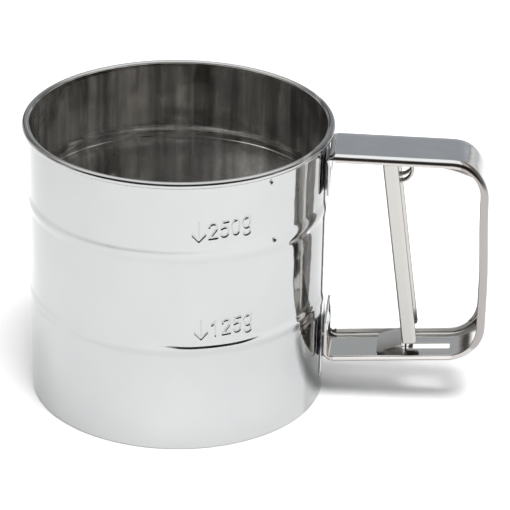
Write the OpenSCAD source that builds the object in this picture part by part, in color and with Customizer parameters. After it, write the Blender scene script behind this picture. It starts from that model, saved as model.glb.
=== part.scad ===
// Squeeze-handle flour sifter: a round cup with a wire screen, an oscillating
// agitator under a sliding drive link, and a finger trigger inside a strap handle.
// Frame: origin on the cup axis at the base plane, +X towards the handle, +Z up.

/* [Cup] */
// Outside radius of the cup wall
cup_r = 48.1; // [47.9:0.05:48.2]
// Overall height of the cup
cup_h = 93.8; // [92:0.2:100]
// Sheet thickness of the cup wall
cup_t = 0.5; // [0.45:0.01:0.5]
// Outside radius of the rolled rim
rim_r = 50; // [49.8:0.1:50.4]
// Height of the upper measuring bead (250 g)
bead_hi = 68; // [60:0.5:72]
// Height of the lower measuring bead (125 g)
bead_lo = 35.2; // [32:0.5:44]
// How far the measuring beads stand out
bead_out = 0.4; // [0.2:0.05:0.6]

/* [Screen] */
// Height of the underside of the screen cloth
mesh_z = 6.9; // [6.9:0.05:6.95]
// Thickness of the screen cloth
mesh_t = 0.4; // [0.3:0.05:0.4]
// Inside radius of the screen rings
ring_in = 42.5; // [42.3:0.1:43]

/* [Agitator] */
// Number of agitator arms
arms = 4; // [2:2:4]
// Length of each agitator arm from the centre
arm_r = 41.6; // [38:0.2:41.8]
// Radius at which the crank pin stands
crank_r = 26; // [25.5:0.25:26]
// Rest angle of the crank pin about the cup axis
crank_a = -105; // [-106:0.5:-104]

/* [Handle] */
// Width of the handle strap
strap_w = 20; // [19:0.5:22]
// Sheet thickness of the strap
strap_t = 0.7; // [0.6:0.05:0.7]
// Height of the strap's turned edges
flange_h = 2.5; // [2:0.1:3]
// Distance of the grip's outer face from the cup axis
grip_x = 101; // [101:0.5:101]
// Length of the slot in the bottom strap
slot_l = 16.6; // [16.2:0.1:17]

/* [Trigger] */
// Width of the trigger channel
trig_w = 14; // [13.8:0.1:14.2]
// Sheet thickness of the trigger
trig_t = 0.6; // [0.55:0.05:0.65]
// Lean of the trigger from upright at rest
trig_lean = 7.86; // [7.5:0.1:8.2]
// Radius of the trigger's pivot pin
pin_r = 0.85; // [0.8:0.05:0.85]

/* [Hidden] */
$fn = 96;
round_fn = 180;                  // facets of the large cup-sized rounds
eps = 0.02;                      // assembly gap between touching sheets
steel = [0.80, 0.81, 0.83];
dull = [0.62, 0.63, 0.66];

// ---- helpers ---------------------------------------------------------------
function reversed(list) = [for (i = [len(list) - 1:-1:0]) list[i]];

function arc(centre, r, from, to, steps = 14) =
    [for (i = [0:steps])
        let (a = from + (to - from)*i/steps)
        [centre[0] + r*cos(a), centre[1] + r*sin(a)]];

// Upright cylinder on the cup axis, with its base at z
module disc(r, h, z) {
    translate([0, 0, z]) cylinder(r = r, h = h);
}
module rod_x(r, x0, x1, y, z) {
    translate([x0, y, z]) rotate([0, 90, 0]) cylinder(r = r, h = x1 - x0);
}
module rod_y(r, y0, y1, x, z) {
    translate([x, y0, z]) rotate([-90, 0, 0]) cylinder(r = r, h = y1 - y0);
}
// Side view (x, z) given a width from y to y + w
module slab(y, w) {
    translate([0, y + w, 0]) rotate([90, 0, 0]) linear_extrude(w) children();
}
// The same side view as a sheet along each edge of a channel
module edge_pair(width, sheet) {
    for (y = [-width/2, width/2 - sheet]) slab(y, sheet) children();
}

// ---- cup -------------------------------------------------------------------
in_r = cup_r - cup_t;            // inside radius of the bowl
hem_h = 4;                       // height of the folded hem
hem_in = in_r - cup_t;           // inside radius of the hem
wall_top = cup_h - 1.2;          // the wall ends inside the rim roll
roll_r = 1.15;                   // section radius of the rim roll
bead_lo_w = 2;                   // half heights of the beads
bead_hi_w = 2.4;
bead_lead = 2.6;                 // wall point below each bead's centre
lap_t = 0.4;                     // thickness of the lapped sheet edge
lap_angle = 15.8;                // sweep of the lap strip about the cup axis
window_y = 5.6;                  // half width of the drive window
window_z0 = 12.6;
window_z1 = 14.4;
leg_rivet_r = 1.5;
leg_rivet_y = 4.5;
leg_rivet_top = 79;
leg_rivet_bottom = 22.5;

// Points of a soft outward bead on a wall at radius r, upwards from z-w to z+w
function bead(r, z, w, steps = 8) =
    [for (i = [0:steps])
        let (a = -180 + 360*i/steps)
        [r + bead_out*(1 + cos(a))/2, z + w*i*2/steps - w]];

// Flat-crested ridge from x out to peak, upwards; base and crest are half heights
function ridge(x, peak, z, base, crest) =
    [[x, z - base], [peak, z - crest], [peak, z + crest], [x, z + base]];

module drive_window() {
    translate([30, -window_y, window_z0]) cube([30, 2*window_y, window_z1 - window_z0]);
}
module leg_rivet_holes(x_end = 60) {
    for (s = [-1, 1], z = [leg_rivet_top, leg_rivet_bottom])
        rod_x(leg_rivet_r + eps, 40, x_end, s*leg_rivet_y, z);
}
module cup_body() {
    color(steel) difference() {
        union() {
            // wall with folded hem and two raised measuring beads
            rotate_extrude($fn = round_fn) polygon(concat(
                [[hem_in, 0], [cup_r - 0.35, 0], [cup_r - 0.1, 0.1], [cup_r, 0.35]],
                [[cup_r, bead_lo - bead_lead]],
                bead(cup_r, bead_lo, bead_lo_w),
                [[cup_r, bead_hi - bead_lead]],
                bead(cup_r, bead_hi, bead_hi_w),
                [[cup_r, wall_top], [in_r, wall_top]],
                reversed(bead(in_r, bead_hi, bead_hi_w)),
                reversed(bead(in_r, bead_lo, bead_lo_w)),
                [[in_r, hem_h], [hem_in, hem_h]]));
            // rolled rim
            rotate_extrude($fn = round_fn)
                translate([rim_r - roll_r, cup_h - roll_r]) circle(r = roll_r, $fn = 48);
        }
        drive_window();
        leg_rivet_holes();
    }
}
// Outer edge strip of the lapped side seam, behind the handle legs
module lap_seam_strip() {
    face = lap_t - eps;          // outer face, measured from the strip's inner face
    peak = lap_t + bead_out;
    z0 = 8;
    z1 = cup_h - 2.6;
    color(steel) difference() {
        rotate([0, 0, -lap_angle/2]) rotate_extrude(angle = lap_angle, $fn = round_fn)
            translate([cup_r + eps, 0]) polygon(concat(
                [[0, z0], [face, z0]],
                ridge(face, peak, bead_lo, 2.1, 0.6),
                ridge(face, peak, bead_hi, 2.5, 0.8),
                [[face, z1], [0, z1]],
                reversed(ridge(0, bead_out, bead_hi, 2.5, 1.6)),
                reversed(ridge(0, bead_out, bead_lo, 2.1, 1.4))));
        drive_window();
        leg_rivet_holes();
    }
}

// ---- screen ----------------------------------------------------------------
lip_in = 46.4;                   // inside radius of the lower ring's lip
ledge_z = 5.9;                   // underside of the lower ring
mesh_top = mesh_z + mesh_t;
bridge_t = 1;
bridge_w = 9;
bridge_z = ledge_z - bridge_t;
bridge_rivet_y = 44.5;
bridge_rivet_r = 0.9;
centre_rivet_r = 1.6;
low_head_t = 0.7;                // rivet heads under the bridge bar
low_head_z = bridge_z - low_head_t;
shank_z = 4.5;                   // rivet shanks start inside their lower heads
washer_t = 0.8;
top_washer_z = 11;

module bridge_rivet_holes(z, h) {
    for (s = [-1, 1]) translate([0, s*bridge_rivet_y, 0]) disc(bridge_rivet_r + eps, h, z);
}
module centre_hole(z, h) {
    disc(centre_rivet_r + 0.05, h, z);
}
module screen_mesh() {
    color(dull) difference() {
        disc(46.8, mesh_t - eps, mesh_z);
        centre_hole(5, 4);
        bridge_rivet_holes(5, 4);
    }
}
module screen_ring_upper() {
    color(steel) difference() {
        disc(in_r - eps, 0.7, mesh_top, $fn = round_fn);
        disc(ring_in + 0.5, 5, 5);
        bridge_rivet_holes(5, 5);
    }
}
module screen_ring_lower() {
    color(steel) difference() {
        rotate_extrude($fn = round_fn) polygon([
            [in_r - eps, hem_h + eps], [in_r - eps, mesh_z - eps], [ring_in, mesh_z - eps],
            [ring_in, ledge_z], [lip_in, ledge_z], [lip_in, hem_h + 0.45],
            [47.3, hem_h + eps]]);
        bridge_rivet_holes(5, 5);
    }
}
// Bar across the cup under the screen, along Y
module bridge_bar() {
    color(steel) difference() {
        intersection() {
            translate([-bridge_w/2, -50, bridge_z]) cube([bridge_w, 100, bridge_t - eps]);
            disc(lip_in - 0.2, 3, 4);
        }
        centre_hole(3, 4);
        bridge_rivet_holes(3, 5);
    }
}
module bridge_rivets() {
    color(dull) for (s = [-1, 1]) translate([0, s*bridge_rivet_y, 0]) {
        disc(1.6, low_head_t - eps, low_head_z);
        disc(bridge_rivet_r, 3.8, shank_z);
        disc(1.5, 0.5, 8 + eps);
    }
}
module centre_rivet() {
    color(steel) {
        disc(3, low_head_t - eps, low_head_z);
        disc(centre_rivet_r, 8, shank_z);
        // domed upper head
        translate([0, 0, top_washer_z + washer_t]) rotate_extrude()
            polygon([[0, 0], [3, 0], [2.8, 0.5], [2.2, 1], [1.2, 1.3], [0, 1.4]]);
    }
}
module washer(r, h, z) {
    difference() {
        disc(r, h, z);
        centre_hole(z - 1, h + 2);
    }
}
module spacer_washer() {
    color(dull) washer(5, bridge_t - 2*eps, ledge_z + eps);
}
module bearing_washer() {
    color(dull) washer(6, washer_t, mesh_top);
}
module top_washer() {
    color(dull) washer(5, washer_t - eps, top_washer_z);
}

// ---- agitator --------------------------------------------------------------
plate_z = 8.2;                   // underside of the agitator plate
plate_t = 0.8;
plate_top = plate_z + plate_t;
arm_w = 7;
blade_start = 9;                 // inner end of each blade, from the cup axis
bush_r = 2.8;
crank_foot_r = 1;                // crank pin where it passes through the plate
crank_x = crank_r*cos(crank_a);
crank_y = crank_r*sin(crank_a);

module agitator() {
    // local frame: one arm along +X, under the crank pin
    color(steel) rotate([0, 0, crank_a]) difference() {
        union() {
            translate([0, 0, plate_z]) linear_extrude(plate_t) {
                circle(r = 7.5);
                square([2*arm_r, arm_w], center = true);
                if (arms > 2) square([arm_w, 2*arm_r], center = true);
            }
            // upright blade on each arm
            for (a = arms > 2 ? [0, 90, 180, 270] : [0, 180])
                rotate([0, 0, a]) translate([blade_start, 2.4, 8.6])
                    cube([arm_r - blade_start - 0.5, 0.8, 3.1]);
        }
        disc(bush_r + eps, 5, 7);
        translate([crank_r, 0, 0]) disc(crank_foot_r + eps, 5, 7);
    }
}
module hub_bush() {
    color(dull) difference() {
        union() {
            disc(bush_r, 2.8, 8.15);
            disc(4.4, 0.8, plate_top + eps);
        }
        centre_hole(7, 6);
    }
}
module crank_pin() {
    color(steel) translate([crank_x, crank_y, 0]) {
        disc(crank_foot_r, 1, plate_z);
        disc(1.5, 5.2, plate_top + eps);
        disc(2.6, 0.8, 14.1);
    }
}

// ---- handle ----------------------------------------------------------------
slope = 4.2;                     // rise angle of the bottom strap towards the grip
top_z = 88;                      // top face of the strap
leg_x = 48.5;                    // face of the legs towards the cup
upper_leg_end = 74;              // lower end of the upper leg
lower_leg_end = 28.5;            // upper end of the lower leg
saddles = [[upper_leg_end, 10], [lower_leg_end - 11, 11]];   // base height, height

// outside radii of the strap's four bends
top_leg_bend = 4;
top_grip_bend = 13.7;
low_grip_bend = 12.5;
low_leg_bend = 3.5;
// lower bend centres; the bottom run is tangent to both bends
run_normal = [cos(slope - 90), sin(slope - 90)];
low_grip_c = [grip_x - low_grip_bend, 29.16];
low_leg_cx = leg_x + low_leg_bend;
low_leg_c = [low_leg_cx,
    (low_grip_c*run_normal + low_grip_bend - low_leg_bend - low_leg_cx*run_normal[0])
    /run_normal[1]];

// Side view of the strap: bends about fixed centres, inset by d from the outer face
function strap_path(d) = concat(
    [[leg_x + d, upper_leg_end]],
    arc([leg_x + top_leg_bend, top_z - top_leg_bend], top_leg_bend - d, 180, 90, 8),
    arc([grip_x - top_grip_bend, top_z - top_grip_bend], top_grip_bend - d, 90, 0),
    arc(low_grip_c, low_grip_bend - d, 0, slope - 90),
    arc(low_leg_c, low_leg_bend - d, slope - 90, -180, 8),
    [[leg_x + d, lower_leg_end]]);

module strap_side(depth) {
    polygon(concat(strap_path(0), reversed(strap_path(depth))));
}
module handle_strap() {
    color(steel) difference() {
        union() {
            slab(-strap_w/2, strap_w) strap_side(strap_t);
            // turned edges
            edge_pair(strap_w, strap_t) strap_side(flange_h);
            // saddles that fill the gap to the round cup wall
            for (saddle = saddles)
                translate([46.8, -8.6, saddle[0]]) cube([2, 17.2, saddle[1]]);
        }
        cylinder(r = cup_r + lap_t + eps, h = 120, $fn = round_fn);
        leg_rivet_holes(51);
        // slot for the trigger's tab
        translate([74, 0, 15]) rotate([0, -slope, 0])
            translate([0, -1.6, -3]) cube([slot_l, 3.2, 6]);
    }
}
// Pair of rivets through a leg and the cup wall
module leg_rivets(z) {
    color(dull) for (s = [-1, 1]) {
        y = s*leg_rivet_y;
        rod_x(leg_rivet_r, 46.6, 49.6, y, z);
        // head inside the cup
        rod_x(2.2, 46.3, 46.95, y, z);
        // domed head on the strap
        translate([leg_x + strap_t + eps, y, z]) rotate([0, 90, 0]) rotate_extrude()
            polygon([[0, 0], [2.6, 0], [2.45, 0.5], [1.9, 0.9], [1.0, 1.15], [0, 1.2]]);
    }
}
module handle_rivets_top() {
    leg_rivets(leg_rivet_top);
}
module handle_rivets_bottom() {
    leg_rivets(leg_rivet_bottom);
}

// ---- drive link ------------------------------------------------------------
link_t = 0.6;
link_w = 10;
knee_x = 38.5;                   // where the link turns level
tail_l = 39.6;                   // length of the sloping part
// the bottom strap's outer face where it leaves the leg bend
run_start = low_leg_c + low_leg_bend*run_normal;
// underside of the level part; the sloping part runs just under the bottom strap
link_z = run_start[1] - (run_start[0] - knee_x)*tan(slope) - 0.05 - link_t;

module drive_link() {
    tail_end = [knee_x + tail_l*cos(slope), link_z + tail_l*sin(slope)];
    color(steel) difference() {
        union() {
            slab(-link_w/2, link_w) polygon([
                [30, link_z], [knee_x, link_z],
                tail_end, tail_end + link_t*[-sin(slope), cos(slope)],
                [knee_x, link_z + link_t], [30, link_z + link_t]]);
            // diagonal arm to the yoke
            translate([0, 0, link_z]) linear_extrude(link_t) {
                polygon([
                    [31, link_w/2], [31, -link_w/2], [crank_x + 3, crank_y - 5],
                    [crank_x - 4, crank_y - 1], [crank_x - 4, crank_y + 4.6]]);
                translate([crank_x, crank_y - 0.4]) circle(r = 5.2);
            }
        }
        // yoke slot round the crank pin
        translate([crank_x - 1.6, crank_y - 0.45 - 2.4, link_z - 1]) cube([3.2, 4.8, 3]);
        // hole for the trigger's tab
        translate([74.45, -1.7, link_z + 1]) cube([2.1, 3.4, 6]);
    }
}

// ---- trigger ---------------------------------------------------------------
pivot_x = 68.9;
pivot_z = 82.3;
bracket_t = 0.8;
bracket_w = 12;
lug_r = 1.7;
web_x = -3.03;                   // web's face towards the cup, from the pivot
trig_top = 3;                    // channel ends, from the pivot
web_bottom = -62.6;
flange_bottom = -61.5;
foot_l = 8.7;
foot_w = 13;
foot_t = 0.55;
tab_w = 2.6;

module pivot_bracket() {
    color(steel) difference() {
        union() {
            translate([64, -bracket_w/2, top_z - strap_t - bracket_t])
                cube([9, bracket_w, bracket_t - eps]);
            // round-ended lugs
            for (y = [-bracket_w/2, bracket_w/2 - bracket_t]) {
                translate([pivot_x - lug_r, y, pivot_z]) cube([2*lug_r, bracket_t, 4.5]);
                rod_y(lug_r, y, y + bracket_t, pivot_x, pivot_z);
            }
        }
        rod_y(pin_r + eps, -10, 10, pivot_x, pivot_z);
    }
}
module trigger() {
    color(steel) difference() {
        union() {
            // web and two flanges; local frame: origin on the pin, +Z up along
            // the channel, +X away from the cup
            translate([pivot_x, 0, pivot_z]) rotate([0, -trig_lean, 0]) {
                translate([web_x, -trig_w/2, web_bottom])
                    cube([trig_t, trig_w, trig_top - web_bottom]);
                edge_pair(trig_w, trig_t) polygon([
                    [web_x, flange_bottom], [1.1, flange_bottom], [1.87, -60.5],
                    [1.87, 2.2], [1.1, trig_top], [web_x, trig_top]]);
            }
            // foot turned towards the cup
            translate([74.35, -foot_w/2, 20.2]) rotate([0, -21.1, 0])
                translate([-foot_l, 0, -foot_t]) cube([foot_l, foot_w, foot_t]);
            // drive tab and the block at its top
            translate([75.2, -tab_w/2, 12.6]) cube([trig_t, tab_w, 8.2]);
            translate([74, -tab_w/2, 19.4]) cube([1.8, tab_w, 1.2]);
        }
        rod_y(pin_r + 0.05, -10, 10, pivot_x, pivot_z);
    }
}
// Pin ends stand just proud of the channel's sides
module trigger_pin() {
    pin_end = trig_w/2 + 0.08;
    color(dull) rod_y(pin_r, -pin_end, pin_end, pivot_x, pivot_z);
}

// ---- trigger spring --------------------------------------------------------
spring_x = 71.1;                 // coil axis
spring_z = 81.75;
coil_r = 3.75;
coil_wire_r = 0.62;
leg_wire_r = 0.55;
coil_end = 3.9;                  // y of the outermost turns

// Torsion spring round the pin: turns at each end, one leg along the strap, one on the web
module trigger_spring() {
    color(dull) {
        for (y = [-coil_end, -2.75, 1.6, 2.75, coil_end])
            translate([spring_x, y, spring_z]) rotate([-90, 0, 0])
                rotate_extrude($fn = 48)
                    translate([coil_r, 0]) circle(r = coil_wire_r, $fn = 16);
        // straight wire between the two coils, on the web's side of the pin
        rod_y(0.4, -coil_end, coil_end, spring_x - coil_r, spring_z);
        // leg to the grip
        translate([spring_x + 0.9, -coil_end, spring_z + 3.65]) rotate([0, 104.7, 0])
            cylinder(r = leg_wire_r, h = 27.3, $fn = 24);
        // leg down the trigger web
        translate([spring_x - 3.65, coil_end, spring_z - 0.7])
            rotate([0, 180 - trig_lean, 0]) cylinder(r = leg_wire_r, h = 24, $fn = 24);
    }
}

cup_body();
lap_seam_strip();
screen_mesh();
screen_ring_upper();
screen_ring_lower();
bridge_bar();
bridge_rivets();
centre_rivet();
spacer_washer();
bearing_washer();
top_washer();
agitator();
hub_bush();
crank_pin();
drive_link();
handle_strap();
handle_rivets_top();
handle_rivets_bottom();
pivot_bracket();
trigger();
trigger_pin();
trigger_spring();
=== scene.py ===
"""Steel flour-sifter cup with a strap handle and a spring trigger.

The cup stands on z = 0 with its axis on Z. The handle is a closed loop on the +X side, in the
XZ plane, and the trigger hangs inside it. A drive link runs from the trigger through a window
in the wall to an agitator, which turns over a woven screen near the foot. The stamped marks
are on the -Y side, where the camera stands. Sizes are in millimetres, angles in degrees.
"""
import bpy
import bmesh
import math
import numpy as np
from mathutils import Matrix, Vector


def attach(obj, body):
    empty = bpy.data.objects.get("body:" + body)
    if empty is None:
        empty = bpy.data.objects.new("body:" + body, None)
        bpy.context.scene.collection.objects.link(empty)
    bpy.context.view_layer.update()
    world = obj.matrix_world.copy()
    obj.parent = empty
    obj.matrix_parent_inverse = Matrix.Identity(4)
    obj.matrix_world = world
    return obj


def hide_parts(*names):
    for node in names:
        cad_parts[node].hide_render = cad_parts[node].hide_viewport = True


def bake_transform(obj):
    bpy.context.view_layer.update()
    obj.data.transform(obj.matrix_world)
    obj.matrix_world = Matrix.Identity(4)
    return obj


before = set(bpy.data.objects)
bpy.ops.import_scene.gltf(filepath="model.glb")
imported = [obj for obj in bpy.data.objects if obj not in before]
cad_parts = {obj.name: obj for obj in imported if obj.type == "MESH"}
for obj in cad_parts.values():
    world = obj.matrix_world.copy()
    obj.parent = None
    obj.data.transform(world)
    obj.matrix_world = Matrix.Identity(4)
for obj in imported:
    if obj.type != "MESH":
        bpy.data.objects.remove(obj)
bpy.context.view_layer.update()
scene = bpy.context.scene
MM = 0.001
D2R = math.pi / 180


# ---------------------------------------------------------------- shader graphs
class Graph:
    """The emptied node tree of a material or world, with short ways to add nodes."""

    def __init__(self, owner):
        owner.use_nodes = True
        self.tree = owner.node_tree
        self.tree.nodes.clear()

    def node(self, kind, inputs=None, **settings):
        """Adds a node. Each input is given a value, or the socket that feeds it."""
        node = self.tree.nodes.new("ShaderNode" + kind)
        for name, value in settings.items():
            setattr(node, name, value)
        for key, value in (inputs or {}).items():
            self.feed(node, key, value)
        return node

    def feed(self, node, key, value):
        if isinstance(value, bpy.types.NodeSocket):
            self.tree.links.new(value, node.inputs[key])
        else:
            node.inputs[key].default_value = value

    def mapping(self, vector, scale):
        return self.node("Mapping", {"Scale": scale, "Vector": vector}).outputs[0]

    def noise(self, vector, scale, detail, roughness=0.5):
        return self.node("TexNoise", {"Scale": scale, "Detail": detail, "Roughness": roughness,
                                      "Vector": vector}).outputs["Fac"]

    def remap(self, value, source, target=(0.0, 1.0), soft=False):
        """Maps the source range to the target range, eased at both ends if soft."""
        return self.node(
            "MapRange",
            {"From Min": source[0], "From Max": source[1],
             "To Min": target[0], "To Max": target[1], "Value": value},
            interpolation_type="SMOOTHSTEP" if soft else "LINEAR").outputs[0]

    def math(self, operation, *values, clamp=False):
        return self.node("Math", dict(enumerate(values)),
                         operation=operation, use_clamp=clamp).outputs[0]

    def mix(self, factor, a, b):
        return self.node("Mix", {"Factor": factor, "A": a, "B": b},
                         data_type="RGBA").outputs["Result"]

    def scale(self, colour, factor):
        return self.node("VectorMath", {0: colour, "Scale": factor}, operation="SCALE").outputs[0]

    def bump(self, height, strength, distance, **normal):
        return self.node("Bump", {"Strength": strength, "Distance": distance,
                                  "Height": height, **normal}).outputs[0]


# ---------------------------------------------------------------- steel
def hazed_metallic(graph, position, in_mm, smudges, metal, haze):
    """Metallic value lowered by a dull film that grows towards the screen."""
    axes = graph.node("SeparateXYZ", {0: position}).outputs
    height = graph.remap(axes["Z"], [z * MM for z in haze["z_range"]],
                         (haze["metal_low"], metal), soft=True)
    patches = graph.remap(graph.noise(in_mm, scale=0.035, detail=3), (0.40, 0.60), soft=True)
    patched = graph.math("MULTIPLY_ADD", patches, haze["patches"], height)
    centred = graph.math("SUBTRACT", patched, haze["patches"] * 0.5, clamp=True)
    # the film is thicker on the side towards the handle
    side = graph.remap(axes["X"], (-10 * MM, 26 * MM), soft=True)
    below = graph.remap(axes["Z"], (58 * MM, 68 * MM), (0.62, 0.0), soft=True)
    broken = graph.remap(smudges, (0.36, 0.60), (0.35, 1.0))
    film = graph.math("MULTIPLY", graph.math("MULTIPLY", side, below), broken)
    return graph.math("SUBTRACT", centred, film, clamp=True)


def painted_streak_tone(graph, position, tone, strength):
    """Painted reflection streaks: long drawn light and dark streaks that run up the wall."""
    stretched = graph.mapping(position, (1000, 1000, 60))
    reflection_streaks = graph.noise(stretched, scale=0.085, detail=6, roughness=0.62)
    return graph.scale(tone, graph.remap(reflection_streaks, (0.40, 0.62),
                                         (1.0 - strength, 1.0 + strength * 0.6)))


def painted_light_tone(graph, position, tone):
    """Painted light and shade on the wall's tone: lighter towards the foot except on the -X side,
    darker at the far left and the far right, and a painted bright upright band near x = 42-43 mm
    from z = 32-42 mm up.
    """
    axes = graph.node("SeparateXYZ", {0: position}).outputs

    def drift(axis, start, end, low, high):
        return graph.remap(axes[axis], (start * MM, end * MM), (low, high), soft=True)

    foot = graph.math("MULTIPLY", drift("Z", 6, 36, 0.17, 0.0), drift("X", -36, 8, 0.0, 1.0))
    sides = graph.math("MULTIPLY", drift("X", -47, -32, 0.86, 1.0),
                       drift("X", 43.0, 44.6, 1.0, 0.74))
    painted_bright_band = graph.math("MULTIPLY", drift("X", 41.3, 42.3, 0.0, 0.5),
                      drift("X", 43.2, 44.4, 1.0, 0.0))
    painted_bright_band = graph.math("MULTIPLY", painted_bright_band, drift("Z", 32, 42, 0.0, 1.0))
    return graph.scale(tone, graph.math("ADD", graph.math("ADD", foot, sides), painted_bright_band))


def steel(name, base, rough=(0.05, 0.11), scale=(1, 1, 1), grain=0.0, wave=0.0, wear=0.25,
          tint=(0.97, 0.98, 1.0), smudge=0.05, crease_shade=0.6, metal=1.0, reflection_streaks=0.0, haze=None,
          painted_light=False):
    """Metal with smudges, fine directional marks, brighter worn edges and painted shade in the
    creases.

    scale stretches the marks per axis, grain is their strength, wave the sheet's bump in mm,
    and tint colours the smudges.
    """
    material = bpy.data.materials.new(name)
    graph = Graph(material)
    shader = graph.node("BsdfPrincipled", {"Metallic": metal})
    graph.node("OutputMaterial", {0: shader.outputs[0]})
    position = graph.node("TexCoord").outputs["Object"]
    in_mm = graph.mapping(position, (1000, 1000, 1000))
    smudges = graph.noise(in_mm, scale=0.07, detail=4, roughness=0.6)
    if haze:
        graph.feed(shader, "Metallic",
                   hazed_metallic(graph, position, in_mm, smudges, metal, haze))
    marks = graph.noise(graph.mapping(position, tuple(1000 * s for s in scale)),
                        scale=2.2, detail=5, roughness=0.7)
    pointiness = graph.node("NewGeometry").outputs["Pointiness"]
    worn = graph.remap(pointiness, (0.505, 0.56), (0.0, wear))

    # roughness: smudges plus marks, and duller at worn edges
    roughness = graph.math("ADD", graph.remap(smudges, (0.35, 0.7), rough),
                           graph.remap(marks, (0.3, 0.75), (-0.012, 0.02 + grain * 0.08)),
                           clamp=True)
    worn_share = 0.25
    graph.feed(shader, "Roughness",
               graph.math("MULTIPLY_ADD", worn, worn_share, roughness, clamp=True))

    # colour
    smudged = [b * (1 - smudge) * t for b, t in zip(base, tint)]
    tone = graph.mix(smudges, (*smudged, 1), (*base, 1))
    # painted reflection: light and dark streaks running up the wall
    if reflection_streaks:
        tone = painted_streak_tone(graph, position, tone, reflection_streaks)
    # painted light and shade: the tone is lifted at the foot and in an upright band, and lowered
    # at the far sides
    if painted_light:
        tone = painted_light_tone(graph, position, tone)
    bright = tuple(min(1, b * gain) for b, gain in zip(base, (1.25, 1.25, 1.24)))
    tone = graph.mix(worn, tone, (*bright, 1))
    # painted shade: the base colour is darkened towards near-black in concave creases, standing
    # in for the shade that gathers there
    crease_shade_mask = graph.remap(pointiness, (0.488, 0.455), (0.0, crease_shade))
    crease_shade_colour = (0.035, 0.033, 0.030, 1)
    graph.feed(shader, "Base Color", graph.mix(crease_shade_mask, tone, crease_shade_colour))

    # bump: marks, then a broad wave of the sheet
    normal = graph.bump(marks, strength=0.06 + grain, distance=0.00003)
    if wave:
        normal = graph.bump(graph.noise(in_mm, scale=0.16, detail=1.5),
                            strength=1.0, distance=wave * MM, Normal=normal)
    graph.feed(shader, "Normal", normal)
    return material


WARM = (1, 0.99, 0.98)  # smudge tint of the warmer pieces
CUP_MARKS = (0.12, 0.12, 2.5)  # marks run around the cup wall
EDGE_LOOK = dict(rough=(0.10, 0.18), wear=0.35, tint=WARM)  # cut and folded strap edges

# painted shade: near-black steel for the grooves beside the lap strip, standing in for the shadow
# in the crevice
M_groove_shade = steel("seam_groove_painted_shade", (0.10, 0.10, 0.105), rough=(0.18, 0.28), scale=(2, 2, 2),
               grain=0.1, wear=0.3)
M_lap = steel("lap_strip", (0.72, 0.73, 0.735), rough=(0.22, 0.32), scale=(2, 2, 0.3),
              grain=0.1, wear=0.3, metal=0.55)
M_lip = steel("lower_lip", (0.93, 0.925, 0.915), rough=(0.24, 0.36), scale=(2, 2, 2),
              grain=0.1, wave=0.02, wear=0.3, tint=WARM, metal=0.25)
# painted shade: dark steel on the near fold along the floor's lower edge, for the dark reflection
# of the shadow beneath it
M_fold_shade = steel("strap_fold_painted_shade", (0.20, 0.19, 0.188), scale=(0.3, 3, 3), grain=0.08, wave=0.03,
                **EDGE_LOOK)
M_near = steel("near_lip", (0.62, 0.60, 0.59), rough=(0.09, 0.16), scale=(0.3, 3, 3),
               grain=0.08, wave=0.03, wear=0.35, tint=WARM)
# painted shade: the grip's edges are a darker copy of the strap edge steel, for the dark things
# the rolled flange reflects
M_grip_shade = steel("grip_edge_painted_shade", (0.31, 0.292, 0.288), scale=(2, 2, 2), grain=0.1, wave=0.04,
               **EDGE_LOOK)
# cup steel with painted light and shade in its tone
M_cup = steel("cup_steel", (0.462, 0.464, 0.462), rough=(0.03, 0.07), scale=CUP_MARKS,
              grain=0.02, wave=0.05, wear=0.1, crease_shade=0.35, metal=0.99, painted_light=True)
# painted light: the inner face is a lighter, warmer copy of the cup steel, with painted
# reflection streaks running up it
M_inside = steel("cup_inside", (0.63, 0.61, 0.58), rough=(0.03, 0.09), scale=CUP_MARKS,
                 grain=0.02, wave=0.05, wear=0.1, tint=(0.97, 0.99, 1.02), smudge=0.14,
                 crease_shade=0.35, metal=0.97, reflection_streaks=0.46,
                 haze=dict(z_range=(34, 64), metal_low=0.84, patches=0.14))
M_strap = steel("strap_steel", (0.635, 0.64, 0.645), rough=(0.05, 0.10), scale=(0.25, 3, 3),
                grain=0.05, wave=0.11, smudge=0.12)
M_inner = steel("strap_inner", (0.70, 0.69, 0.655), rough=(0.07, 0.12), scale=(0.25, 3, 3),
                grain=0.05, wave=0.06)
M_edge = steel("strap_edge", (0.47, 0.445, 0.435), scale=(2, 2, 2), grain=0.1, wave=0.04,
               **EDGE_LOOK)
M_trigger = steel("trigger_steel", (0.43, 0.42, 0.405), rough=(0.09, 0.16), scale=(3, 3, 0.2),
                  grain=0.08, wave=0.04, wear=0.3, tint=WARM)
M_satin = steel("satin_steel", (0.66, 0.66, 0.66), rough=(0.22, 0.36), scale=(0.4, 3, 3),
                grain=0.25, wave=0.03, wear=0.5)
M_rivet = steel("rivet_steel", (0.62, 0.62, 0.63), rough=(0.14, 0.26), scale=(1.5, 1.5, 1.5),
                grain=0.25, wave=0.03, wear=0.6)
M_wire = steel("wire_steel", (0.38, 0.365, 0.35), rough=(0.14, 0.24), scale=(1.2, 1.2, 1.2),
               grain=0.2, wear=0.3, tint=(1, 0.97, 0.94))
M_screen = steel("screen_steel", (0.80, 0.79, 0.76), rough=(0.34, 0.44), scale=(2, 2, 2),
                 grain=0.1, wear=0.2, metal=0.35)
M_brass = steel("bush_brass", (0.70, 0.53, 0.28), rough=(0.14, 0.28), scale=(2, 2, 0.3),
                grain=0.2, wear=0.4, tint=(1, 0.96, 0.9))


# ---------------------------------------------------------------- mesh helpers
# A shape is a pair (vertices in mm, faces).
def add_object(name, mesh, material, body, replaced):
    mesh.polygons.foreach_set("use_smooth", [True] * len(mesh.polygons))
    piece = bpy.data.objects.new(name, mesh)
    scene.collection.objects.link(piece)
    mesh.materials.append(material)
    if body:
        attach(piece, body)
    for node in replaced:
        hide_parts(node)
    return piece


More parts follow.
